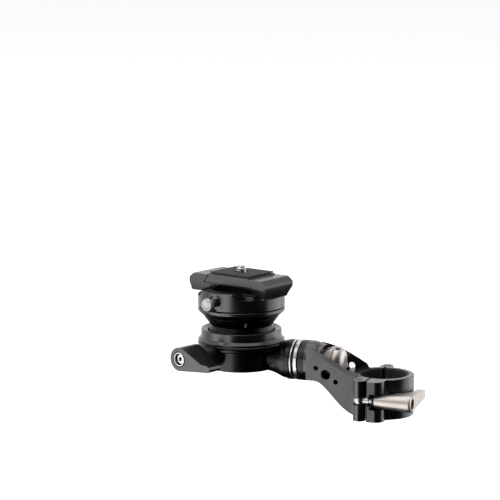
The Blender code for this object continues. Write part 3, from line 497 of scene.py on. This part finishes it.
def drill(axis, height, heading, radius, depth, surface):
    """A cutter for a hole across an axis, with a small countersink at the surface."""
    turn = Matrix.Rotation(math.radians(heading), 4, "Z")
    across = Matrix.Rotation(math.radians(90), 4, "Y")
    place = axis @ Matrix.Translation((0, 0, height)) @ turn @ across
    sink, clear = 0.35, 4
    profile = [
        (0, depth),
        (radius, depth),
        (radius, surface - sink),
        (radius + sink * 2, surface + sink),
        (radius + sink * 2, surface + clear),
        (0, surface + clear),
    ]
    return lathe("drill", place, profile, steps=40, ease=0)


def hexagon(axis, radius, low, high):
    """A cutter for a hexagon socket. The radius reaches its corners."""
    profile = [(0, low), (radius, low), (radius, high), (0, high)]
    return lathe("socket", axis, profile, steps=6, ease=0)


def thread(name, axis, root, crest, low, high, pitch, per_turn=36):
    """A helical ridge whose ends run out. A crest under the root gives an inside thread."""
    foot, land = 0.42, 0.07
    runout_turns, least_ridge = 0.25, 0.04
    count = int((high - low) / pitch * per_turn)
    form = bmesh.new()
    rings = []
    for index in range(count + 1):
        angle = math.tau * index / per_turn
        to_end = min(index, count - index) / per_turn
        top = root + (crest - root) * max(min(1.0, to_end / runout_turns), least_ridge)
        height = low + (high - low) * index / count
        ring = []
        for radius, offset in ((root, -foot), (top, -land), (top, land), (root, foot)):
            place = around(radius, angle, height + offset * pitch)
            ring.append(form.verts.new(axis @ place * MM))
        rings.append(ring)
    bridge(form, rings)
    cap(form, rings)
    piece = new_piece(name, form)
    shade(piece, 50)
    return piece


def prism(name, axis, outline, low, high):
    """An (x, z) outline extruded along the frame's Y axis."""
    form = bmesh.new()
    rows = []
    for y in (low, high):
        rows.append([form.verts.new(axis @ Vector((x, y, z)) * MM) for x, z in outline])
    bridge(form, rows)
    cap(form, rows)
    return new_piece(name, form)


# The head, the arm, the knobs and the screws, turned finer than the CAD


def collar():
    """The screwed collar over the ball, its side drafted."""
    profile = [
        (23.7, 18.0),
        (25.0, 18.0),
        (25.4, 17.6),
        (25.7, 12.9),
        (27.4, 11.2),
        (27.4, 10.5),
        (24.2, 10.5),
        (24.2, 13.3),
        (23.5, 13.3),
        (23.5, 16.5),
        (21.3, 16.5),
        (21.3, 16.9),
    ]
    turned("ball_collar", HEAD, profile)


def ball():
    """The ball with its cone above and its hollow below, and the index mark in its notch."""
    rim_height, waist_radius = 0.7, 19.6
    low = math.degrees(math.asin((rim_height - BALL_HEIGHT) / BALL_RADIUS))
    high = math.degrees(math.acos(waist_radius / BALL_RADIUS))
    profile = [(4.3, 26.5), (23.6, 26.5), (23.9, 26.2)]
    profile += arc((0, BALL_HEIGHT), BALL_RADIUS, high, low, 40)
    profile += [(16.4, rim_height), (17.6, 8.0), (16.4, 17.3), (13.0, 20.4), (4.3, 20.4)]
    index = HEAD @ Matrix.Rotation(math.radians(INDEX_HEADING), 4, "Z")
    notch = [(21.0, 21.8), (26.0, 21.8), (26.0, 25.2), (21.0, 25.2)]
    turned("tilt_ball", HEAD, profile, prism("index_notch", index, notch, -0.6, 0.6), steps=160)
    line = [(20.6, 21.8), (21.3, 21.8), (23.2, 24.4), (20.6, 24.4)]
    attach(prism("index_mark", index, line, -0.35, 0.35), "tilt_ball", "mark")


def pan_seat():
    """The seat that the pan table turns on."""
    profile = [
        (4.3, 38.8),
        (8.7, 38.8),
        (9.0, 38.5),
        (9.0, 31.8),
        (27.1, 31.8),
        (27.5, 31.4),
        (27.5, 29.6),
        (24.2, 26.8),
        (4.3, 26.8),
    ]
    turned("pan_base", HEAD, profile)


def arm_rings():
    """The bright rings of the arm's joint and the dark band on the bracket's collar."""
    band = [(12.2, -48.3), (12.74, -48.3), (12.78, -48.4), (12.78, -51.8), (12.2, -51.8)]
    piece = lathe("collar_band", ARM, band, ease=0)
    shade(piece)
    attach(piece, "clamp_bracket", "black_base")
    turned("thrust_ring", ARM, ring_profile(5.2, 12.7, -57.8, -56.3, 0.3), ease=0.2)
    turned("arm_friction_ring", ARM, ring_profile(5.2, 12.7, -55.2, -52.6, 0.3), ease=0.2)


def arm_nuts():
    """The cone and the dome, each with four holes for a tommy bar."""
    cone = [(5.2, -31.4), (9.8, -31.4), (10.1, -31.8), (8.0, -38.0), (7.6, -38.4), (5.2, -38.4)]
    holes = [drill(ARM, -35.2, 90 * i - 168, 1.6, 6.6, 8.9) for i in range(4)]
    turned("tension_nut", ARM, cone, *holes, steps=120)

    left, right, rim, flat, bulge, arc_steps = -31.1, -24.6, 1.2, 4.0, 6.1, 16
    dome = [(0, right), (flat, right)]
    for step in range(1, arc_steps + 1):
        angle = math.radians(90 * (1 - step / arc_steps))
        height = left + rim + (right - left - rim) * math.sin(angle)
        dome.append((flat + bulge * math.cos(angle), height))
    dome += [(9.8, left), (5.2, left), (5.2, -26.8), (0, -26.8)]
    holes = [drill(ARM, -28.7, 90 * i + 108, 1.5, 7.4, 9.8) for i in range(4)]
    turned("dome_nut", ARM, dome, *holes, steps=120, ease=0.15)


def knobs():
    """The pan's thumb screw and the sliding jaw's knob, both fluted."""
    pan_knob = [
        (0, 34.5),
        (2.3, 34.5),
        (2.9, 34.8),
        (3.7, 34.8),
        (4.2, 34.3),
        (4.2, 32.7),
        (3.8, 32.2),
        (2.6, 32.0),
        (2.6, 25.8),
        (1.4, 25.8),
        (1.4, 13.3),
        (0, 13.3),
    ]
    turned("pan_lock_knob", PAN_KNOB, pan_knob, flutes=24, depth=0.16, core=3.9, ease=0.2)
    jaw_knob = [
        (0, 38.6),
        (4.3, 38.6),
        (5.0, 37.9),
        (5.0, 34.2),
        (4.4, 33.6),
        (3.6, 33.6),
        (3.6, 31.4),
        (2.5, 31.4),
        (2.5, 37.0),
        (0, 37.0),
    ]
    turned("jaw_knob", JAW_SCREW, jaw_knob, flutes=18, depth=0.42, core=4.3, ease=0.3)


def screws():
    """The visible screws of the tube clamp's bolt and the ball's lock."""
    bolt_end = [
        (0, 30.0),
        (2.8, 30.0),
        (3.1, 29.7),
        (3.1, 27.4),
        (1.0, 27.4),
        (1.0, 22.0),
        (0, 22.0),
    ]
    socket = hexagon(BOLT, 1.5, 28.6, 32)
    turned("bolt_end_screw", BOLT, bolt_end, socket, steps=72, ease=0.2)

    lever_end = [
        (0, 55.8),
        (2.7, 55.8),
        (3.1, 55.4),
        (3.1, 53.4),
        (1.3, 53.4),
        (1.3, 38.6),
        (0, 38.6),
    ]
    socket = hexagon(LOCK, 1.6, 54.2, 60)
    turned("lever_end_screw", LOCK, lever_end, socket, steps=72, ease=0.2)
    turned("lever_insert", LOCK, ring_profile(3.6, 4.4, 55.4, 57.2, 0.25), steps=96, ease=0.12)


def camera_screw():
    """The screw in the camera plate, with a coin slot below and a thread above."""
    profile = [
        (0, 57.6),
        (2.2, 57.6),
        (2.6, 57.1),
        (2.6, 50.0),
        (7.4, 50.0),
        (7.7, 49.7),
        (7.7, 47.9),
        (7.4, 47.5),
        (0, 47.5),
    ]
    slot = [(-9, 45), (9, 45), (9, 48.7), (-9, 48.7)]
    coin_slot = prism("coin_slot", PAN, slot, -0.7, 0.7)
    turned("camera_screw", PAN, profile, coin_slot, steps=96, ease=0.15)
    ridge = thread("camera_screw_thread", PAN, 2.55, 3.15, 50.9, 56.8, CAMERA_THREAD_PITCH)
    attach(ridge, "camera_screw")


# Outlines nearer to the photograph's


def neck_fairing():
    """Covers the arm's neck with a gentler flare, bored for the spindle as the neck is."""
    profile = [
        (5.5, -61.38),
        (12.24, -61.38),
        (12.14, -62.38),
        (11.89, -63.58),
        (11.44, -64.98),
        (10.79, -66.48),
        (10.14, -67.98),
        (9.49, -69.68),
        (8.94, -71.38),
        (8.54, -72.98),
        (8.34, -74.58),
        (5.5, -74.58),
    ]
    piece = lathe("neck_fairing", ARM, profile, ease=0)
    shade(piece)
    attach(piece, "base_body")


def ear_corner():
    """A cutter that rounds the moving jaw's ear more narrowly, down to the band's face."""
    ear_radius, band_radius, half = 5.4, 19.06, 14
    outline = [(2.9, -30.0), (2.9, -26.9)] + arc((1.4, -21.6), ear_radius, -72, 0, 14)
    outline += arc((0, 0), band_radius, -69, -52, 8) + [(16.0, -15.0), (16.0, -30.0)]
    upright = Matrix.Rotation(math.radians(-90), 4, "X")
    return prism("ear_corner", upright, outline, -half, half)


# Rubber faces


def plate_pad():
    """The rubber on the plate, ribbed across the dovetail."""
    half, half_width, bottom, top, groove = 15.4, 12.8, 52.9, 53.8, 53.45
    chamfer, margin, ribs, hole_radius = 0.2, 1.2, 13, 4.2
    outline = [(-half, bottom), (half, bottom), (half, top - chamfer), (half - chamfer, top)]
    for rib in range(ribs):
        right = half - margin - rib * 2 * (half - margin) / ribs
        for x, z in ((0.0, top), (-0.15, groove), (-0.55, groove), (-0.7, top)):
            outline.append((right + x, z))
    outline += [(-half + chamfer, top), (-half, top - chamfer)]
    pad = prism("plate_pad_ribbed", PAN, outline, -half_width, half_width)
    hole = [(0, 50), (hole_radius, 50), (hole_radius, 60), (0, 60)]
    cut(pad, lathe("pad_hole", PAN, hole, steps=64, ease=0))
    shade(pad)
    stand_in(pad, "plate_pad")


def jaw_liner(node, limit, side):
    """A liner with grooves along the tube, cut flat at x = limit. Its side is the sign of X."""
    inner, outer, half, corner = 14.3, 15.5, 12.1, 0.35
    steps, groove_steps, groove_depth, face_depth = 168, 8, 0.35, 0.5
    section = [(inner, half), (outer, half), (outer, -half), (inner, -half)]
    section = eased(section, corner, closed=True)
    form = bmesh.new()
    rows = []
    for step in range(steps + 1):
        grooved = step % groove_steps in (3, 4) and 6 < step < steps - 6
        row = []
        for radius, height in section:
            first = math.acos(limit / radius)
            if side < 0:
                angle = first + (math.tau - 2 * first) * step / steps
            else:
                angle = -first + 2 * first * step / steps
            if grooved and radius < inner + face_depth:
                radius += groove_depth
            row.append(form.verts.new(around(radius, angle, height) * MM))
        rows.append(row)
    bridge(form, rows)
    cap(form, rows)
    piece = new_piece(node + "_grooved", form)
    shade(piece)
    stand_in(piece, node)


collar()
ball()
pan_seat()
arm_rings()
arm_nuts()
knobs()
screws()
camera_screw()
plate_pad()
jaw_liner("fixed_jaw_liner", -4.7, -1)
jaw_liner("moving_jaw_liner", -3.1, 1)
ridge = thread("accessory_thread", ACCESSORY, 3.25, 2.75, 10.2, 12.4, CAMERA_THREAD_PITCH)
attach(ridge, "clamp_bracket")

# The rest are the CAD's solids with broken edges, of one width but for these
PLAIN_EDGE_MM = 0.10
EDGES_MM = {
    "clamp_bracket": 0.42,
    "moving_jaw": 0.22,
    "clamp_lever": 0.40,
    "base_body": 0.25,
    "ball_lock_lever": 0.45,
    "pan_body": 0.20,
    "quick_release_body": 0.22,
    "sliding_jaw": 0.22,
    "quick_release_plate": 0.15,
}
for node in NODES:
    if node not in STOOD_IN:
        cutters = [ear_corner()] if node == "moving_jaw" else []
        soften(node, EDGES_MM.get(node, PLAIN_EDGE_MM), cutters)
neck_fairing()


# Floor, light and camera


def backdrop():
    """A pale floor that curves up into a wall all round. It leaves the gloss to the world."""
    sides, bend_steps = 96, 8
    line = [(0.5, 0.0), (1.2, 0.0), (FLOOR_FLAT, 0.0)]
    for step in range(1, bend_steps + 1):
        angle = math.radians(90 * step / bend_steps)
        out, up = math.sin(angle), 1 - math.cos(angle)
        line.append((FLOOR_FLAT + FLOOR_BEND * out, FLOOR_BEND * up))
    line.append((FLOOR_FLAT + FLOOR_BEND, FLOOR_TOP))
    form = bmesh.new()
    rows = []
    for reach, lift in line:
        row = []
        for side in range(sides):
            place = around(reach, math.tau * side / sides, FLOOR_Z + lift)
            row.append(form.verts.new(place))
        rows.append(row)
    form.faces.new(rows[0])
    bridge(form, rows)
    floor = new_piece("studio_floor", form)
    floor.data.shade_smooth()
    paper = Finish("pale_paper", FLOOR_TONES[0], 0.0, 0.9)
    paper.tint(paper.noise(60.0), *FLOOR_TONES)
    paper.shader.inputs["Emission Color"].default_value = (1.0, 1.0, 1.0, 1.0)
    paper.shader.inputs["Emission Strength"].default_value = FLOOR_GLOW
    floor.data.materials.append(paper.material)
    floor.visible_glossy = False
    floor.visible_diffuse = False
    floor.visible_shadow = False


def softbox(name, heading, distance, height, width, tall, radiance):
    """A soft light that is aimed at the object."""
    angle = math.radians(heading)
    place = LIGHTS_AIM + Vector((math.cos(angle), math.sin(angle), 0)) * distance
    place.z = height
    light = bpy.data.lights.new(name, "AREA")
    light.shape = "RECTANGLE"
    light.size = width
    light.size_y = tall
    light.energy = radiance * math.pi * width * tall
    lamp = bpy.data.objects.new(name, light)
    lamp.location = place
    lamp.rotation_euler = (LIGHTS_AIM - place).to_track_quat("-Z", "Y").to_euler()
    lamp.visible_camera = False
    bpy.context.scene.collection.objects.link(lamp)


def smooth_ramp(tree, value, ends, results=(0.0, 1.0)):
    """Takes a value from the first result at the first end to the second at the second."""
    ramp = tree.nodes.new("ShaderNodeMapRange")
    ramp.interpolation_type = "SMOOTHSTEP"
    for socket, number in zip(("From Min", "From Max", "To Min", "To Max"), (*ends, *results)):
        ramp.inputs[socket].default_value = number
    tree.links.new(value, ramp.inputs["Value"])
    return ramp.outputs["Result"]


def studio():
    """The soft lights and a world that is bright behind the object and dark on the near side."""
    for name, settings in SOFTBOXES.items():
        softbox(name, *settings)
    world = bpy.data.worlds.new("studio_world")
    world.use_nodes = True
    tree = world.node_tree
    background = tree.nodes["Background"]
    background.inputs["Color"].default_value = (*WORLD_TINT, 1.0)
    direction = tree.nodes.new("ShaderNodeTexCoord").outputs["Generated"]
    nearness = tree.nodes.new("ShaderNodeVectorMath")
    nearness.operation = "DOT_PRODUCT"
    nearness.inputs[1].default_value = (-CAMERA_VIEW.x, -CAMERA_VIEW.y, 0.0)
    tree.links.new(direction, nearness.inputs[0])
    height = tree.nodes.new("ShaderNodeSeparateXYZ")
    tree.links.new(direction, height.inputs["Vector"])
    glow = tree.nodes.new("ShaderNodeMath")
    glow.operation = "MULTIPLY"
    fall = smooth_ramp(tree, nearness.outputs["Value"], WORLD_TURN, WORLD_GLOW)
    tree.links.new(fall, glow.inputs[0])
    tree.links.new(smooth_ramp(tree, height.outputs["Z"], WORLD_RISE), glow.inputs[1])
    tree.links.new(glow.outputs["Value"], background.inputs["Strength"])
    bpy.context.scene.world = world
    bpy.context.scene.view_settings.view_transform = "Standard"


def photograph_camera():
    """A long lens that sees the object as the photograph does."""
    data = bpy.data.cameras.new("photograph_camera")
    data.lens = CAMERA_LENS
    data.sensor_width = SENSOR
    data.clip_start = 0.05
    data.clip_end = 20.0
    camera = bpy.data.objects.new("photograph_camera", data)
    camera.location = CAMERA_PLACE
    camera.rotation_euler = CAMERA_VIEW.to_track_quat("-Z", "Y").to_euler()
    bpy.context.scene.collection.objects.link(camera)
    bpy.context.scene.camera = camera


backdrop()
studio()
photograph_camera()

bpy.context.view_layer.update()
